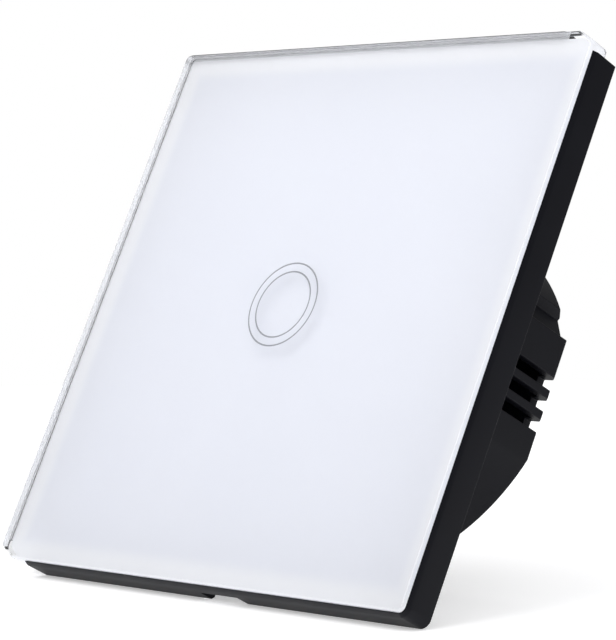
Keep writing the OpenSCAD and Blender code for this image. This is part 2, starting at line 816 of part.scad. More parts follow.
module touch_chip() {
    back = floor_front + chip_t;
    shoulder = floor_front + chip_t / 2;
    side = chip_h / 2;
    bend = side + leg_reach - leg_foot;
    color([0.12, 0.12, 0.13]) translate([0, 0, -chip_drop]) {
        edged_plate(chip_w / 2, chip_h / 2, 2 * chip_bevel,
            [[0, floor_front + leg_t], [0, back - chip_bevel], [chip_bevel, back]]);
        for (row = [0, 1], i = [0 : leg_count - 1]) mirror([0, 0, row])
            strip((i - (leg_count - 1) / 2) * leg_pitch, leg_w) {
                panel([0, shoulder], [bend + leg_t, shoulder + leg_t]);
                panel([bend, floor_front], [bend + leg_t, shoulder + leg_t]);
                panel([bend, floor_front], [side + leg_reach, floor_front + leg_t]);
            }
    }
}

// Power board and what stands on it
module power_board() {
    color([0.06, 0.3, 0.16]) difference() {
        slab(power_front, power_rear) housing_outline(wall + board_gap);
        for (p = posts) rod(post_r + screw_gap, power_front - cut, power_rear + cut, p[0], p[1]);
        header_holes(power_front - cut, power_rear + cut, pin_r + screw_gap);
    }
}

// One cell of the header block for each pin, notched where two cells meet
module header_block() {
    half = header_w / 2;
    step = pin_pitch / 2;
    cell = [
        [step, half - header_notch], [step - header_notch, half],
        [header_notch - step, half], [-step, half - header_notch]
    ];
    color([0.12, 0.12, 0.13]) difference() {
        slab(floor_front, power_front) for (i = [0 : pin_count - 1], turn = [0, 180])
            translate([(i - (pin_count - 1) / 2) * pin_pitch, header_z]) rotate(turn)
                polygon(concat(cell, [[-step, 0], [step, 0]]));
        header_holes(floor_front - cut, power_front + cut, pin_r + screw_fit);
    }
}

module header_pins() {
    color("gold") header_holes(touch_front + screw_gap, power_rear - screw_gap, pin_r);
}

module relay() {
    step_y = power_rear + relay_base_t;
    back = power_rear + relay_d;
    color([0.15, 0.35, 0.65]) translate([0, 0, relay_bottom + relay_h / 2])
        edged_plate(relay_w / 2, relay_h / 2, relay_corner_r, [
            [0, power_rear], [0, step_y], [relay_step, step_y],
            [relay_step, back - case_bevel], [relay_step + case_bevel, back]
        ]);
}

module film_capacitor() {
    back = power_rear + film_d;
    color([0.85, 0.6, 0.15]) translate([0, 0, film_bottom + film_h / 2])
        edged_plate(film_w / 2, film_h / 2, film_corner_r,
            [[0, power_rear], [0, back - case_bevel], [case_bevel, back]]);
}

// A drawn can with a crimp over its seal and a dished end with a relief score
module filter_capacitor() {
    back = power_rear + can_len;
    crimp = power_rear + crimp_at;
    rim = can_r - case_bevel;
    color([0.12, 0.14, 0.3]) difference() {
        turned([
            [0, power_rear], [rim, power_rear], [can_r, power_rear + case_bevel],
            [can_r, crimp - crimp_d], [can_r - crimp_d, crimp], [can_r, crimp + crimp_d],
            [can_r, back - case_bevel], [rim, back], [rim - dish_d, back - dish_d], [0, back - dish_d]
        ], -can_x, 0);
        for (turn = [0, 90]) translate([-can_x, 0, 0]) rotate([0, turn, 0])
            block([-rim, back - 2 * dish_d, -score_w / 2], [rim, back + cut, score_w / 2]);
    }
}

// A round fuse lying on the board, with capped ends and bent leads
module fuse() {
    half = fuse_len / 2;
    inner = half - fuse_cap_len;
    lead_z = half + lead_reach;
    color([0.9, 0.9, 0.85]) translate([fuse_x, power_rear + fuse_cap_r, 0]) {
        rotate_extrude() polygon([
            [0, -half], [fuse_r, -half], [fuse_cap_r, fuse_cap_t - half],
            [fuse_cap_r, -inner], [fuse_r, -inner], [fuse_r, inner], [fuse_cap_r, inner],
            [fuse_cap_r, half - fuse_cap_t], [fuse_r, half], [0, half]
        ]);
        for (end = [0, 1]) mirror([0, 0, end]) {
            cylinder(r = lead_r, h = lead_z);
            translate([0, 0, lead_z]) sphere(lead_r);
            rod(lead_r, -fuse_cap_r, 0, 0, lead_z);
        }
    }
}

// Terminals with rising clamp cages
module terminal_block() {
    chamber_half = cage_w / 2 + cage_gap;
    bar_hole = bar_w / 2 + bar_fit;
    color([0.13, 0.13, 0.14]) difference() {
        block([-block_half, power_rear, block_bottom], [block_half, block_rear, block_top]);
        for (x = poles) {
            block([x - chamber_half, power_rear - cut, chamber_bottom],
                [x + chamber_half, block_ledge, chamber_top]);
            block([x - bar_hole, bar_front - bar_fit, chamber_top - cut],
                [x + bar_hole, bar_rear + bar_fit, block_top + cut]);
            rod(screw_r + screw_fit, block_ledge - cut, block_rear + cut, x, cage_z);
            translate([x, wire_y, block_bottom - cut]) cylinder(r = wire_r, h = block_bottom_t + 2 * cut);
        }
        for (side = [-1, 1]) translate([side * pole_pitch / 2, 0, block_bottom])
            block([-groove_w / 2, power_rear - cut, -cut],
                [groove_w / 2, block_rear + cut, block_bottom_t / 2]);
    }
}

// A bent brass strip from each clamp to the power board
module terminal_bars() {
    bend_z = bar_top - bar_t - bar_bend;
    bend_y = bar_front - bar_bend;
    color([0.8, 0.65, 0.3]) for (x = poles) strip(x, bar_w) {
        panel([bar_bottom, bar_front], [bend_z, bar_rear]);
        panel([bar_top - bar_t, power_rear], [bar_top, bend_y]);
        intersection() {
            translate([bend_z, bend_y]) difference() {
                circle(bar_bend + bar_t);
                circle(bar_bend);
            }
            panel([bend_z, bend_y], [bar_top, bar_rear]);
        }
    }
}

module terminal_screw(pole) {
    x = poles[pole];
    seat = block_rear + screw_fit;
    top = seat + head_t;
    color([0.72, 0.73, 0.75]) difference() {
        screw(x, cage_z, screw_r, bar_rear + cage_gap, seat, top, head_r);
        driver_slot(x, cage_z, head_r, top - driver_d, top + cut);
    }
}

// A clamp cage bent from strip, with a threaded wall and a grooved floor that lifts the wire
module terminal_clamp(pole) {
    x = poles[pole];
    half = cage_w / 2;
    inner = half - cage_sheet;
    front = cage_floor - cage_sheet;
    tooth_pitch = cage_len / tooth_count;
    color([0.78, 0.78, 0.76]) difference() {
        translate([x, 0, cage_z]) linear_extrude(cage_len, center = true) difference() {
            translate([0, (front + cage_rear) / 2]) tile(half, (cage_rear - front) / 2, cage_bend);
            translate([0, (cage_floor + cage_nut_front) / 2])
                tile(inner, (cage_nut_front - cage_floor) / 2, cage_bend - cage_sheet);
        }
        rod(screw_r + screw_fit, cage_nut_front - cut, cage_rear + cut, x, cage_z);
        for (i = [0 : tooth_count - 1]) strip(x, 2 * (half - cage_bend))
            translate([cage_z + (i - (tooth_count - 1) / 2) * tooth_pitch, cage_floor])
                polygon([[-tooth_d, tooth_d], [tooth_d, tooth_d], [0, -tooth_d]]);
    }
}

glass_panel();
back_print();
foam_tape();
panel_frame();
mounting_plate();
chassis();
plate_screws();
rear_housing();
housing_screws();
touch_board();
touch_pad();
light_guide();
indicator_leds();
touch_chip();
power_board();
header_block();
header_pins();
relay();
film_capacitor();
filter_capacitor();
fuse();
terminal_block();
terminal_bars();
terminal_screw(0);  // terminal_screw_1
terminal_screw(1);  // terminal_screw_2
terminal_screw(2);  // terminal_screw_3
terminal_clamp(0);  // terminal_clamp_1
terminal_clamp(1);  // terminal_clamp_2
terminal_clamp(2);  // terminal_clamp_3
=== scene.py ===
# %% [markdown]
# A touch light switch: a white printed glass panel in a thin black frame, clipped over a
# mounting plate, with a black moulded body behind it that goes into a wall box.
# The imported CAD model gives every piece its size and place. This lesson gives each piece its
# softened edges and its finish, and sets the light, the floor and the camera.

# %% Load the frame
import json
import math

import bpy
import numpy as np
from mathutils import Matrix, Vector


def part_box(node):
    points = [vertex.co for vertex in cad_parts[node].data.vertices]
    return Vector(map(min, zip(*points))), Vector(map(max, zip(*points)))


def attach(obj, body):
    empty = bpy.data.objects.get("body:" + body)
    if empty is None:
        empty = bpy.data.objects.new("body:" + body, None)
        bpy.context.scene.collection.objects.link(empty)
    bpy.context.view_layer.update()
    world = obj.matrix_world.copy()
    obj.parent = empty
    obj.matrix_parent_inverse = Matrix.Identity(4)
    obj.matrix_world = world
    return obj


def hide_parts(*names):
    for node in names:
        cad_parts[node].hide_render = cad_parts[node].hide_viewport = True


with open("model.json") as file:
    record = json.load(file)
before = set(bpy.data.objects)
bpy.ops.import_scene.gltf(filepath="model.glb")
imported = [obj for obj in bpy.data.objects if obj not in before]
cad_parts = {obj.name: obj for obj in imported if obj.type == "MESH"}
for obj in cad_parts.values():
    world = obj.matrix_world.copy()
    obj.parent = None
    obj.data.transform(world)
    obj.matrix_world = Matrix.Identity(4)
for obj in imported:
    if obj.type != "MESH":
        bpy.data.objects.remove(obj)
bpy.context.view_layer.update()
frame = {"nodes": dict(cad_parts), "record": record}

MM = 0.001
nodes = frame["nodes"]
body_of_node = {n: body for body, names in frame["record"]["behaviour"]["bodies"].items() for n in names}

# %% [markdown]
# The camera stands low at the right, a little below the middle of the panel, with a long lens.
# Its three axes are written as vectors, because a matrix built from them can't be misread:
# right and down run along the picture, and forward runs into it.

# %% Camera at the photograph's angle
CAMERA_PLACE = Vector((276.663, -240.714, -104.929)) * MM
CAMERA_RIGHT = Vector((0.68765, 0.65011, 0.32325))
CAMERA_DOWN = Vector((0.02477, 0.42395, -0.90534))
CAMERA_FORWARD = Vector((-0.72562, 0.63057, 0.27542))
LENS_MM = 160.2
SENSOR_MM = 36
CLIP_NEAR, CLIP_FAR = 0.01, 10

camera_data = bpy.data.cameras.new("photo_camera")
camera_data.lens = LENS_MM
camera_data.sensor_width = SENSOR_MM
camera_data.clip_start = CLIP_NEAR
camera_data.clip_end = CLIP_FAR
camera = bpy.data.objects.new("photo_camera", camera_data)
axes = Matrix((CAMERA_RIGHT, -CAMERA_DOWN, -CAMERA_FORWARD)).transposed().to_4x4()
camera.matrix_world = Matrix.Translation(CAMERA_PLACE) @ axes
bpy.context.scene.collection.objects.link(camera)
bpy.context.scene.camera = camera
bpy.context.scene.view_settings.view_transform = "Standard"
print("camera:", LENS_MM, "mm lens")

# %% [markdown]
# A finish is a small graph of shader nodes. Drawing such graphs by hand takes many lines, so a few
# classes carry them: Term wraps a socket and lets Python's own operators add the Math nodes, Graph
# makes every other node through a single method, and Finish is the graph of one material.

# %% Term, Graph and Finish


class Term:
    """A node socket in a Python sum: each operator adds one Math node to its graph."""

    def __init__(self, graph, socket):
        self.graph = graph
        self.socket = socket

    def math(self, operation, *terms):
        return self.graph.node("ShaderNodeMath", {"operation": operation}, dict(enumerate(terms)))

    def __add__(self, other):
        return self.math("ADD", self, other)

    def __sub__(self, other):
        return self.math("SUBTRACT", self, other)

    def __rsub__(self, other):
        return self.math("SUBTRACT", other, self)

    def __mul__(self, other):
        return self.math("MULTIPLY", self, other)

    def __truediv__(self, other):
        return self.math("DIVIDE", self, other)

    def __mod__(self, other):
        return self.math("FLOORED_MODULO", self, other)

    def __abs__(self):
        return self.math("ABSOLUTE", self)

    def larger(self, other):
        return self.math("MAXIMUM", self, other)

    __radd__ = __add__
    __rmul__ = __mul__


class Graph:
    """The shader nodes of a world or a material."""

    def __init__(self, tree):
        self.tree = tree
        self.tree.nodes.clear()

    @staticmethod
    def pick(sockets, key):
        """A socket by its number, or the first one in use that has this name."""
        if isinstance(key, int):
            return sockets[key]
        return next(s for s in sockets if s.name == key and s.enabled)

    def node(self, kind, settings=None, sockets=None, out=0):
        """Any node: its settings go first, then the values or links of its sockets."""
        made = self.tree.nodes.new(kind)
        for key, value in (settings or {}).items():
            setattr(made, key, value)
        for key, value in (sockets or {}).items():
            socket = self.pick(made.inputs, key)
            if isinstance(value, Term):
                self.tree.links.new(value.socket, socket)
            elif socket.type == "RGBA":
                socket.default_value = (*value, 1)
            else:
                socket.default_value = value
        return Term(self, self.pick(made.outputs, out)) if len(made.outputs) else None

    def ray(self, kind):
        """1 for rays of a kind, such as Camera, Glossy or Shadow, and 0 for the others."""
        return self.node("ShaderNodeLightPath", out=f"Is {kind} Ray")

    def mirrored(self):
        """1 for rays off a gloss; a ray that went through glass counts as glossy too, so it is left out."""
        return self.ray("Glossy") * (1 - self.ray("Transmission"))


class Finish(Graph):
    """One material, made of nodes."""

    def __init__(self, name):
        self.material = bpy.data.materials.new(name)
        self.material.use_nodes = True
        super().__init__(self.material.node_tree)

    def place(self):
        """Object coordinates, which are the object's own frame in metres."""
        return self.node("ShaderNodeTexCoord", out="Object")

    def axes_mm(self):
        """The three coordinates of a point in millimetres, as separate terms."""
        split = self.node("ShaderNodeSeparateXYZ", sockets={0: self.place()})
        return [Term(self, s) / MM for s in split.socket.node.outputs]

    def noise(self, size_mm, detail=3, stretch=(1, 1, 1)):
        """Grains about size_mm across, from 0 to 1, drawn out along an axis by its stretch."""
        turned = self.node("ShaderNodeMapping", sockets={"Vector": self.place(), "Scale": stretch})
        return self.node("ShaderNodeTexNoise", sockets={
            "Vector": turned, "Scale": 1 / (size_mm * MM), "Detail": detail})

    def step(self, term, low, high):
        """A soft step: 0 up to low, 1 from high on."""
        return self.node("ShaderNodeMapRange", {"interpolation_type": "SMOOTHSTEP"}, {
            "Value": term, "From Min": low, "From Max": high})

    def mix(self, share, first, second):
        """A colour between two colours: the first at share 0, the second at share 1."""
        return self.node("ShaderNodeMix", {"data_type": "RGBA"}, {
            "Factor": share, "A": first, "B": second}, out="Result")

    def bump(self, height, depth_mm, strength=1.0):
        """Normals of a surface raised by height, where 1 stands depth_mm proud."""
        return self.node("ShaderNodeBump", sockets={
            "Height": height, "Distance": depth_mm * MM, "Strength": strength}, out="Normal")

    def surface(self, shader):
        self.node("ShaderNodeOutputMaterial", sockets={"Surface": shader})
        return self

    def principled(self, **named):
        """A Principled shader: base_color in Python is Base Color on the node."""
        sockets = {key.replace("_", " ").title().replace("Ior", "IOR"): v for key, v in named.items()}
        return self.node("ShaderNodeBsdfPrincipled", sockets=sockets)


print("Term, Graph and Finish are ready")

# %% [markdown]
# The studio is a white room. World light comes evenly from all sides, and a soft lamp in front of
# the panel, above its middle, gives it a slow fade towards its lower corners. A wide lamp at the
# back lights the body and the plate, which the panel would leave in its shade.
# The camera sees the room as plain white, but a reflection sees it dimmer than the floor. So the
# black side of the frame is darker at the top, where it mirrors the room, than at its foot.

# %% World and lamps
WORLD_LIGHT = 0.9
ROOM_IN_GLOSS = 0.3
world = bpy.data.worlds.new("white_room")
world.use_nodes = True
bpy.context.scene.world = world
room = Graph(world.node_tree)
to_camera = (1 - WORLD_LIGHT) * room.ray("Camera")
to_gloss = (ROOM_IN_GLOSS - WORLD_LIGHT) * room.mirrored()
walls = room.node("ShaderNodeBackground", sockets={
    "Color": (1, 1, 1), "Strength": WORLD_LIGHT + to_camera + to_gloss})
room.node("ShaderNodeOutputWorld", sockets={"Surface": walls})


def lamp(name, place_mm, aim_mm, size_mm, watts):
    """A square soft lamp that looks from its place to its aim."""
    data = bpy.data.lights.new(name, "AREA")
    data.size = size_mm * MM
    data.energy = watts
    made = bpy.data.objects.new(name, data)
    place = Vector(place_mm) * MM
    made.location = place
    made.rotation_euler = (Vector(aim_mm) * MM - place).to_track_quat("-Z", "Y").to_euler()
    bpy.context.scene.collection.objects.link(made)
    return made


lamps = [
    lamp("key_softbox", (0, -260, 75), (0, 0, 0), 180, 0.295),
    lamp("rear_softbox", (-280, 380, 120), (0, 0, 0), 320, 0.1),
]
print("lamps:", [(x.name, round(x.data.energy, 2)) for x in lamps])

# %% [markdown]
# The switch stands on its lower edge and leans back on its body, so in the switch's own frame
# the floor is a tilted plane under the frame's rear lower edge. It is a disc with no edge that
# shows: it shades only its upper side, takes the object's shadow, and is white where it has none.
# Its paint alone would look grey, so the camera and reflections see it with a small lift.

# %% Floor
FLOOR_NORMAL = Vector((0, -0.45880, 0.88854))
FLOOR_FOOT = Vector((0, -0.6, -40)) * MM
FLOOR_RADIUS = 420 * MM
FLOOR_PAINT = (0.92, 0.92, 0.93)
FLOOR_LIFT = 0.4


def grid_faces(rows, columns, closed=False):
    """Quads between neighbours on a grid whose rows close up; its columns may close up too."""
    last = columns if closed else columns - 1
    i, j = (n.ravel() for n in np.meshgrid(np.arange(rows), np.arange(last), indexing="ij"))
    after, beside = (i + 1) % rows, (j + 1) % columns
    here, there = i * columns, after * columns
    return np.stack([here + j, there + j, there + beside, here + beside], 1)


def disc(centre, normal, radius, rings=8, steps=64, pinhole=0.001):
    """Points at radius r and angle a round a centre: centre + r (cos a, sin a) in its plane.

    The innermost ring is a pinhole, so that no faces shrink to nothing.
    """
    across = normal.orthogonal().normalized()
    along = normal.cross(across)
    turns = np.linspace(0, 2 * math.pi, steps, endpoint=False)
    a, r = np.meshgrid(turns, np.linspace(pinhole, 1, rings) * radius, indexing="ij")
    points = (np.array(centre) + (r * np.cos(a))[..., None] * np.array(across)
              + (r * np.sin(a))[..., None] * np.array(along))
    return points.reshape(-1, 3), grid_faces(steps, rings)[:, ::-1]


floor_points, floor_faces = disc(FLOOR_FOOT, FLOOR_NORMAL, FLOOR_RADIUS)
floor_mesh = bpy.data.meshes.new("studio_floor")
floor_mesh.from_pydata(floor_points.tolist(), [], floor_faces.tolist())
floor = bpy.data.objects.new("studio_floor", floor_mesh)
bpy.context.scene.collection.objects.link(floor)

white_floor = Finish("white_floor")
matt = white_floor.node("ShaderNodeBsdfDiffuse", sockets={"Color": FLOOR_PAINT})
lift = white_floor.node("ShaderNodeEmission", sockets={
    "Color": (1, 1, 1), "Strength": FLOOR_LIFT * (white_floor.ray("Camera") + white_floor.mirrored())})
lit = white_floor.node("ShaderNodeAddShader", sockets={0: matt, 1: lift})
clear = white_floor.node("ShaderNodeBsdfTransparent")
behind = white_floor.node("ShaderNodeNewGeometry", out="Backfacing")
white_floor.surface(white_floor.node("ShaderNodeMixShader", sockets={0: behind, 1: lit, 2: clear}))
floor_mesh.materials.append(white_floor.material)
print("floor leans", round(math.degrees(math.acos(FLOOR_NORMAL.z)), 1), "degrees in the switch's frame")

# %% [markdown]
# The front is a sheet of clear float glass with polished edges, and the white is printed on its
# back. It could be one white box, but then the bright rim and the grey line that the glass edge
# shows would have to be painted. As a true sheet of glass over a print, the edge bends the light
# by itself. Its shape is a profile, the rounded edge, carried round a square. Two corners of the
# square, where no frame stands round the glass, are ground off.

# %% Glass panel
LOW, HIGH = (np.array(c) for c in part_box("glass_panel"))
GLASS_HALF = HIGH[0]
GLASS_FRONT = LOW[1]
GLASS_CORNER = 0.8 * MM
FREE_CUT = np.array([2.9, 1.6]) * MM
FRONT_ARRIS = 0.4 * MM
BACK_ARRIS = 0.04 * MM


def ground_square(half, cut_x, cut_z):
    """Corners of a square, once round, with its upper right and lower left corners cut off."""
    near_top, near_side = half - cut_x, half - cut_z
    return np.array([[half, near_side], [near_top, half], [-half, half],
                     [-half, -near_side], [-near_top, -half], [half, -half]])


def round_corners(outline, radius, steps=10):
    """Centres of the corner circles and outward normals, once round an outline with convex corners.

    With the normals n and m of the two sides that meet at a corner p, the circle's centre is
    p - radius (n + m) / (1 + n.m), and its normals turn from n to m.
    """
    side = np.roll(outline, -1, 0) - outline
    after = np.arctan2(-side[:, 0], side[:, 1])
    before = np.roll(after, 1)
    turn = (after - before) % (2 * math.pi)
    n, m = (np.stack([np.cos(a), np.sin(a)], 1) for a in (before, after))
    centre = outline - radius * (n + m) / (1 + (n * m).sum(1, keepdims=True))
    angle = before[:, None] + turn[:, None] * np.linspace(0, 1, steps + 1)
    normal = np.stack([np.cos(angle), np.sin(angle)], -1).reshape(-1, 2)
    return np.repeat(centre, steps + 1, 0), normal


def sheet_surface(outline, corner, profile):
    """A profile of (inset, depth) pairs carried round an outline, closed by two flat faces.

    A point is the corner's centre + normal * (corner radius - inset), at the pair's depth in y.
    """
    centre, normal = round_corners(outline, corner)
    inset, depth = np.asarray(profile).T
    flat = centre[:, None, :] + normal[:, None, :] * (corner - inset)[None, :, None]
    points = np.stack([flat[..., 0], np.broadcast_to(depth, flat.shape[:2]), flat[..., 1]], -1)
    around, along = flat.shape[:2]
    back = (np.arange(around)[::-1] * along).tolist()
    front = (np.arange(around) * along + along - 1).tolist()
    return points.reshape(-1, 3), grid_faces(around, along).tolist() + [back, front]


def arris_profile(front, back, front_radius, back_radius, steps=6):
    """From the back face to the front face of a sheet, with a quarter circle at both edges."""
    a = np.linspace(0, math.pi / 2, steps + 1)
    rise, run = 1 - np.sin(a), 1 - np.cos(a)
    rear = np.stack([back_radius * rise, back - back_radius * run], 1)
    fore = np.stack([front_radius * run, front + front_radius * rise], 1)
    return np.concatenate([rear, fore])


def piece(name, points, faces, body, slot, *stands_for):
    """A new mesh object at the origin that rides on a body and stands for CAD nodes."""
    mesh = bpy.data.meshes.new(name)
    mesh.from_pydata(np.asarray(points).tolist(), [], faces)
    mesh.polygons.foreach_set("use_smooth", np.ones(len(mesh.polygons), bool))
    made = bpy.data.objects.new(name, mesh)
    bpy.context.scene.collection.objects.link(made)
    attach(made, body)
    if stands_for:
        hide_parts(*stands_for)
    return made


def even_normals(made):
    """Shades flat faces flat and rounded edges round, by the area of each face."""
    weigh = made.modifiers.new("even_normals", "WEIGHTED_NORMAL")
    weigh.weight = 100
    return made


glass_profile = arris_profile(GLASS_FRONT, HIGH[1], FRONT_ARRIS, BACK_ARRIS)
glass_outline = ground_square(GLASS_HALF, *FREE_CUT)
glass_points, glass_faces = sheet_surface(glass_outline, GLASS_CORNER, glass_profile)
glass_sheet = even_normals(piece("glass_sheet", glass_points, glass_faces, "panel", "glass", "glass_panel"))
print("glass:", (HIGH - LOW).round(4), len(glass_faces), "faces")

# %% [markdown]
# Low-iron float glass is nearly clear, without the green of common glass. Lamps have to reach the
# print behind it, so for their shadow rays the glass is simply see-through. A slow ripple and a
# breath of haze keep its reflection from being a mirror's.

# %% Glass finish
glass = Finish("float_glass")
haze = glass.noise(9, detail=2)
ripple = glass.noise(14, detail=1)
pane = glass.principled(
    base_color=glass.mix(haze, (0.885, 0.893, 0.905), (0.900, 0.907, 0.917)), roughness=haze * 0.004,
    transmission_weight=1.0, ior=1.5, normal=glass.bump(ripple, depth_mm=0.002, strength=0.1))
see_through = glass.node("ShaderNodeBsdfTransparent", sockets={"Color": (0.97, 0.97, 0.975)})
glass.surface(glass.node("ShaderNodeMixShader", sockets={0: glass.ray("Shadow"), 1: pane, 2: see_through}))
glass_sheet.data.materials.append(glass.material)
print("finish:", glass.material.name)

# %% [markdown]
# The print is a thin coat of white ink that is baked onto the glass, with no air between them.
# An air film would turn the glass edge into a mirror, so the ink's front is sunk a hair into the
# glass here: light then meets the ink before it meets the back of the glass. Its colour drifts as a
# wide coat of ink does. Round its border the ink is painted lighter. This is painted light: it stands
# in for the glow that the glass edges give the print, and it lifts the shade that the frame casts there.

# %% White print
INK_KEY = 0.02 * MM
PRINT_LOW, PRINT_HIGH = (np.array(c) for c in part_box("back_print"))
PRINT_HALF = PRINT_HIGH[0]
MARGIN = GLASS_HALF - PRINT_HALF
# Width and fade of the band of painted light round the print's border
PAINTED_LIGHT_BAND_MM = 2.6
PAINTED_LIGHT_FADE_MM = 1.2


def cut_on_inset(reach, inset):
    """What a line across a corner cuts off a smaller square, set in from the first on all sides.

    On the first square the line reaches as far as reach along x and z. On the smaller one each
    end comes in by inset (1 + its own reach / the other reach).
    """
    return reach - inset * (1 + reach / reach[::-1])


ink_profile = np.array([[0, PRINT_HIGH[1]], [0, PRINT_LOW[1] - INK_KEY]])
print_outline = ground_square(PRINT_HALF, *cut_on_inset(FREE_CUT + 2 * MARGIN, MARGIN))
ink_points, ink_faces = sheet_surface(print_outline, GLASS_CORNER - MARGIN, ink_profile)
ink_sheet = piece("ink_sheet", ink_points, ink_faces, "panel", "white_print", "back_print")
ink_sheet.data.polygons.foreach_set("use_smooth", np.zeros(len(ink_sheet.data.polygons), bool))

ink = Finish("white_ink")
ink_x, _, ink_z = ink.axes_mm()
from_edge = PRINT_HALF / MM - abs(ink_x).larger(abs(ink_z))
# Painted light: the ink is lighter near its border, in place of edge glow and against the frame's shade
painted_light_border = 1 - ink.step(from_edge, PAINTED_LIGHT_BAND_MM - PAINTED_LIGHT_FADE_MM, PAINTED_LIGHT_BAND_MM + PAINTED_LIGHT_FADE_MM)
field = ink.mix(ink.noise(22, detail=3), (0.834, 0.850, 0.912), (0.854, 0.867, 0.922))
ink.surface(ink.principled(
    base_color=ink.mix(painted_light_border, field, (0.925, 0.932, 0.960)), roughness=0.5 + 0.1 * ink.noise(2, detail=2),
    normal=ink.bump(ink.noise(0.4, detail=2), depth_mm=0.004, strength=0.2)))
ink_sheet.data.materials.append(ink.material)
print("print:", (PRINT_HIGH - PRINT_LOW).round(4), "metres")

# %% [markdown]
# Two fine grey circles on the front mark the place to touch. They are etched into the glass and
# filled, so each is a ring with a flat oval section that lies just under the front face. A line
# in the print would look the same from straight ahead, but from the side the glass would shift it.

# %% Ring mark
RING_RADII = np.array([6.05, 4.8]) * MM
RING_HALF_WIDTH = 0.11 * MM
RING_HALF_DEPTH = 0.008 * MM
RING_COVER = 0.012 * MM


def ring_surface(radius, half_width, half_depth, depth, around=256, across=12):
    """An oval carried round a circle: r = radius + half_width cos v, at angle u round the y axis.

    A point is (r cos u, depth + half_depth sin v, r sin u).
    """
    turns = [np.linspace(0, 2 * math.pi, steps, endpoint=False) for steps in (around, across)]
    u, v = np.meshgrid(*turns, indexing="ij")
    r = radius + half_width * np.cos(v)
    points = np.stack([r * np.cos(u), depth + half_depth * np.sin(v), r * np.sin(u)], -1)
    return points.reshape(-1, 3), grid_faces(around, across, closed=True)[:, ::-1]


rings = [ring_surface(r, RING_HALF_WIDTH, RING_HALF_DEPTH, GLASS_FRONT + RING_COVER) for r in RING_RADII]
ring_points = np.concatenate([points for points, faces in rings])
ring_faces = np.concatenate([faces + n * len(rings[0][0]) for n, (points, faces) in enumerate(rings)])
ring_mark = piece("ring_mark", ring_points, ring_faces.tolist(), "panel", "white_print")

fill = Finish("ring_fill")
speck = fill.noise(0.3, detail=3)
fill.surface(fill.principled(
    base_color=fill.mix(speck, (0.33, 0.34, 0.37), (0.42, 0.43, 0.46)), roughness=0.45 + 0.2 * speck,
    normal=fill.bump(speck, depth_mm=0.002, strength=0.3)))
ring_mark.data.materials.append(fill.material)
print("ring mark:", (2 * RING_RADII / MM).round(2), "mm across")

# %% [markdown]
# Every other piece has its true shape in the CAD model, but with edges as sharp as a drawing's.
# A moulding or a stamping has edges that catch a thin line of light. So each piece is a copy of
# its node: the loose triangles are merged into one skin, slivers are closed, flat faces are joined
# up again, the edges get a small round, and the normals are evened out so that flats stay flat.
# Blender holds all the rounds of a piece back where two of them would meet. The housing and the
# terminal screws have a few short edges that would leave almost no round, so theirs run free.
# The foam tape is soft: the glass presses it out until it nearly meets the frame, so it fills the
# bare rim of the glass.

# %% Edged copies of the CAD nodes
MERGE = 1e-6
SLIVER = 0.01 * MM
FLAT_ANGLE = math.radians(0.5)
EDGE_ANGLE = math.radians(35)


def merged_skin(node):
    """Corners of a node's triangles that share a place become one vertex of a closed skin."""
    mesh = nodes[node].data
    mesh.calc_loop_triangles()
    place = np.empty(len(mesh.vertices) * 3, np.float32)
    corner = np.empty(len(mesh.loop_triangles) * 3, np.int32)
    mesh.vertices.foreach_get("co", place)
    mesh.loop_triangles.foreach_get("vertices", corner)
    place = place.reshape(-1, 3)
    _, first, index = np.unique(np.round(place / MERGE), axis=0, return_index=True, return_inverse=True)
    faces = index.ravel()[corner].reshape(-1, 3)
    whole = (faces[:, 0] != faces[:, 1]) & (faces[:, 1] != faces[:, 2]) & (faces[:, 2] != faces[:, 0])
    return place[first], faces[whole].tolist()


def pressed_out(points, share=1.0035, end=0.65 * MM):
    """Tape under pressure: all of it grows by a share, and its cut ends run on along their strips.

    The two strips are L-shaped, and only their cut ends lie where x and z have the same sign.
    """
    x, y, z = points.T
    cut_end = x * z > 0
    along_x = abs(x) < abs(z)
    x = x + np.sign(x) * end * (cut_end & along_x)
    z = z + np.sign(z) * end * (cut_end & ~along_x)
    return np.stack([x * share, y, z * share], 1)


def edged_copy(node, slot, round_mm):
    """A copy of a CAD node whose edges have a small round."""
    points, faces = merged_skin(node)
    if node == "foam_tape":
        points = pressed_out(points)
    made = piece(node + "_edged", points, faces, body_of_node[node], slot, node)
    slivers = made.modifiers.new("close_slivers", "WELD")
    slivers.merge_threshold = SLIVER
    flats = made.modifiers.new("join_flats", "DECIMATE")
    flats.decimate_type = "DISSOLVE"
    flats.angle_limit = FLAT_ANGLE
    edge = made.modifiers.new("round_edges", "BEVEL")
    edge.width = round_mm * MM
    edge.segments = 2
    edge.limit_method = "ANGLE"
    edge.angle_limit = EDGE_ANGLE
    edge.use_clamp_overlap = node not in FREE_ROUNDS
    return even_normals(made)


FREE_ROUNDS = ("rear_housing", "terminal_screw_1", "terminal_screw_2", "terminal_screw_3")
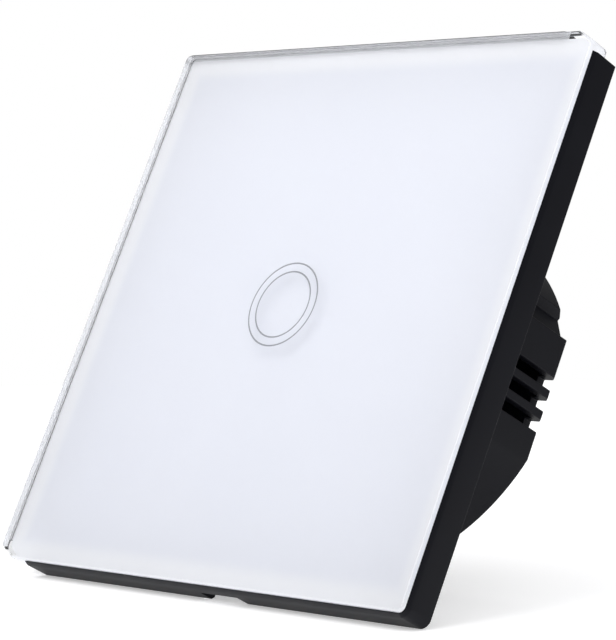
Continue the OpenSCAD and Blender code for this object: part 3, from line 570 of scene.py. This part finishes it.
# Slot and edge round in millimetres
EDGED = {
    "panel_frame": ("black_plastic", 0.045),
    "chassis": ("black_plastic", 0.1),
    "rear_housing": ("black_plastic", 0.15),
    "terminal_block": ("black_plastic", 0.12),
    "header_block": ("black_plastic", 0.08),
    "mounting_plate": ("zinc_steel", 0.08),
    "plate_screws": ("zinc_steel", 0.06),
    "housing_screws": ("zinc_steel", 0.06),
    "touch_board": ("board", 0.03),
    "power_board": ("board", 0.03),
    "touch_pad": ("copper", 0.01),
    "light_guide": ("light_guide", 0.05),
    "indicator_leds": ("led", 0.05),
    "touch_chip": ("chip", 0.03),
    "header_pins": ("gold_pin", 0.04),
    "relay": ("relay_case", 0.12),
    "film_capacitor": ("film_case", 0.15),
    "filter_capacitor": ("can_sleeve", 0.07),
    "fuse": ("fuse_body", 0.08),
    "terminal_bars": ("brass", 0.06),
    "foam_tape": ("foam", 0.03),
}
for pole in (1, 2, 3):
    EDGED[f"terminal_screw_{pole}"] = ("zinc_steel", 0.06)
    EDGED[f"terminal_clamp_{pole}"] = ("brass", 0.06)

pieces_by_slot = {}
for node, (slot, round_mm) in EDGED.items():
    pieces_by_slot.setdefault(slot, []).append(edged_copy(node, slot, round_mm))
print("edged copies:", sum(map(len, pieces_by_slot.values())))


def wear(slot, finish):
    """Puts a finish on every piece of a slot."""
    for made in pieces_by_slot[slot]:
        made.data.materials.append(finish.material)
    print("finish:", finish.material.name, "on", [p.name for p in pieces_by_slot[slot]])


# %% [markdown]
# The frame, the body and the terminal block are moulded in black plastic with a fine spark-eroded
# texture. Its grain is far too small to model, so it is a bump; a slow change of gloss over the
# surface keeps the sheen from looking like paint. The texture scatters most of the shine, so the
# specular level is low.

# %% Black moulded plastic
black = Finish("black_moulding")
grain = black.noise(0.12, detail=2)
cloud = black.noise(7, detail=3)
black.surface(black.principled(
    base_color=black.mix(cloud, (0.0036, 0.0038, 0.0064), (0.0062, 0.0066, 0.0104)),
    roughness=0.42 + 0.12 * cloud, specular_ior_level=0.14,
    normal=black.bump(grain, depth_mm=0.012, strength=0.35)))
wear("black_plastic", black)

# %% [markdown]
# The mounting plate is stamped from zinc plated sheet, and the screws are plated too. Zinc has a
# cool grey colour, faint crystals and fine rolling lines, so two noises drive its colour and gloss.

# %% Zinc plated steel
zinc = Finish("zinc_plate")
crystals = zinc.node("ShaderNodeTexVoronoi", sockets={"Vector": zinc.place(), "Scale": 1 / (2.2 * MM)})
rolling = zinc.noise(0.25, detail=2, stretch=(1, 1, 12))
zinc.surface(zinc.principled(
    base_color=zinc.mix(crystals, (0.58, 0.59, 0.61), (0.68, 0.69, 0.71)), metallic=1.0,
    roughness=0.26 + 0.16 * rolling + 0.05 * crystals,
    normal=zinc.bump(rolling, depth_mm=0.003, strength=0.3)))
wear("zinc_steel", zinc)

# %% [markdown]
# The two boards are glass fibre under a green solder mask. Fine straight tracks stand a little
# proud under the mask, so they show as a lighter green and as a small step in the gloss.

# %% Circuit boards
TRACK_PITCH_MM = 1.8
board = Finish("solder_mask")
board_x, _, _ = board.axes_mm()
track = board.step(abs(board_x / TRACK_PITCH_MM % 1 - 0.5), 0.30, 0.36)
track = track * board.step(board.noise(8, detail=1), 0.48, 0.52)
board.surface(board.principled(
    base_color=board.mix(track, (0.012, 0.085, 0.04), (0.02, 0.16, 0.07)),
    roughness=0.3 + 0.1 * board.noise(3, detail=2), normal=board.bump(track, depth_mm=0.02, strength=0.6)))
wear("board", board)

# %% [markdown]
# Copper, brass and gold flash are one recipe in three colours: a metal whose colour drifts a
# little with its tarnish, with fine scratches in one direction.

# %% Copper, brass and gold


def warm_metal(name, bright, dull, roughness):
    """A warm metal between a bright and a tarnished colour."""
    metal = Finish(name)
    tarnish = metal.noise(2.5, detail=4)
    scratch = metal.noise(0.2, detail=2, stretch=(1, 8, 1))
    return metal.surface(metal.principled(
        base_color=metal.mix(tarnish, bright, dull), metallic=1.0,
        roughness=roughness + 0.15 * tarnish, normal=metal.bump(scratch, depth_mm=0.003, strength=0.3)))


wear("copper", warm_metal("plated_copper", (0.80, 0.47, 0.30), (0.62, 0.34, 0.20), 0.25))
wear("brass", warm_metal("stamped_brass", (0.80, 0.62, 0.30), (0.62, 0.46, 0.20), 0.24))
wear("gold_pin", warm_metal("gold_flash", (0.90, 0.70, 0.36), (0.78, 0.57, 0.26), 0.18))

# %% [markdown]
# The small parts on the boards are moulded, dipped or sleeved in plain colours. One function
# gives them their colour drift, grain and gloss, with values for each. Some show bare tinned metal
# too: the fuse's end caps, the chip's legs and the can's top. A mask on the coordinates finds it,
# so one piece can be metal in one place and plastic in another.

# %% Moulded components
TINNED = (0.66, 0.66, 0.67)
TINNED_ROUGHNESS = 0.28


def moulded(name, dark, light, roughness, grain_mm, depth_mm, bare_metal=None):
    """A plain colour with a slow drift, a grain and a varied gloss, and metal where the mask is 1."""
    made = Finish(name)
    drift = made.noise(4, detail=3)
    colour = made.mix(drift, dark, light)
    gloss = roughness + 0.12 * drift
    metal = {}
    if bare_metal:
        mask = bare_metal(made, *made.axes_mm())
        colour = made.mix(mask, colour, TINNED)
        gloss = gloss + mask * (TINNED_ROUGHNESS - roughness)
        metal = {"metallic": mask}
    bumps = made.bump(made.noise(grain_mm, detail=2), depth_mm, strength=0.4)
    return made.surface(made.principled(base_color=colour, roughness=gloss, normal=bumps, **metal))


def chip_legs(made, x, y, z, body_half=2.0, soft=0.05):
    """1 above and below the chip's body, where its legs stand out."""
    low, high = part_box("touch_chip")
    return made.step(abs(z - (low[2] + high[2]) / 2 / MM), body_half, body_half + soft)


def fuse_caps(made, x, y, z, bare_half=2.7, soft=0.05):
    """1 past the ceramic middle of the fuse."""
    return made.step(abs(z), bare_half - soft, bare_half)


def can_top(made, x, y, z, rim=0.3, soft=0.05):
    """1 on the dished end of the can, inside its sleeve's folded rim."""
    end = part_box("filter_capacitor")[1][1] / MM
    return made.step(y, end - rim - soft, end - rim)


wear("light_guide", moulded(
    "frosted_acrylic", (0.80, 0.82, 0.83), (0.88, 0.90, 0.91),
    roughness=0.4, grain_mm=0.2, depth_mm=0.01))
wear("led", moulded(
    "lens_resin", (0.80, 0.76, 0.55), (0.88, 0.85, 0.68),
    roughness=0.2, grain_mm=0.5, depth_mm=0.005))
wear("chip", moulded(
    "chip_epoxy", (0.018, 0.018, 0.02), (0.03, 0.03, 0.033),
    roughness=0.5, grain_mm=0.1, depth_mm=0.01, bare_metal=chip_legs))
wear("relay_case", moulded(
    "relay_blue", (0.03, 0.11, 0.33), (0.045, 0.15, 0.42),
    roughness=0.35, grain_mm=0.15, depth_mm=0.01))
wear("film_case", moulded(
    "amber_epoxy", (0.60, 0.33, 0.04), (0.74, 0.43, 0.07),
    roughness=0.25, grain_mm=0.6, depth_mm=0.02))
wear("can_sleeve", moulded(
    "shrink_sleeve", (0.02, 0.027, 0.09), (0.035, 0.045, 0.13),
    roughness=0.3, grain_mm=0.8, depth_mm=0.01, bare_metal=can_top))
wear("fuse_body", moulded(
    "fuse_ceramic", (0.72, 0.70, 0.62), (0.80, 0.79, 0.73),
    roughness=0.3, grain_mm=0.3, depth_mm=0.01, bare_metal=fuse_caps))
wear("foam", moulded(
    "closed_foam", (0.80, 0.80, 0.82), (0.88, 0.88, 0.90),
    roughness=0.8, grain_mm=0.25, depth_mm=0.06))
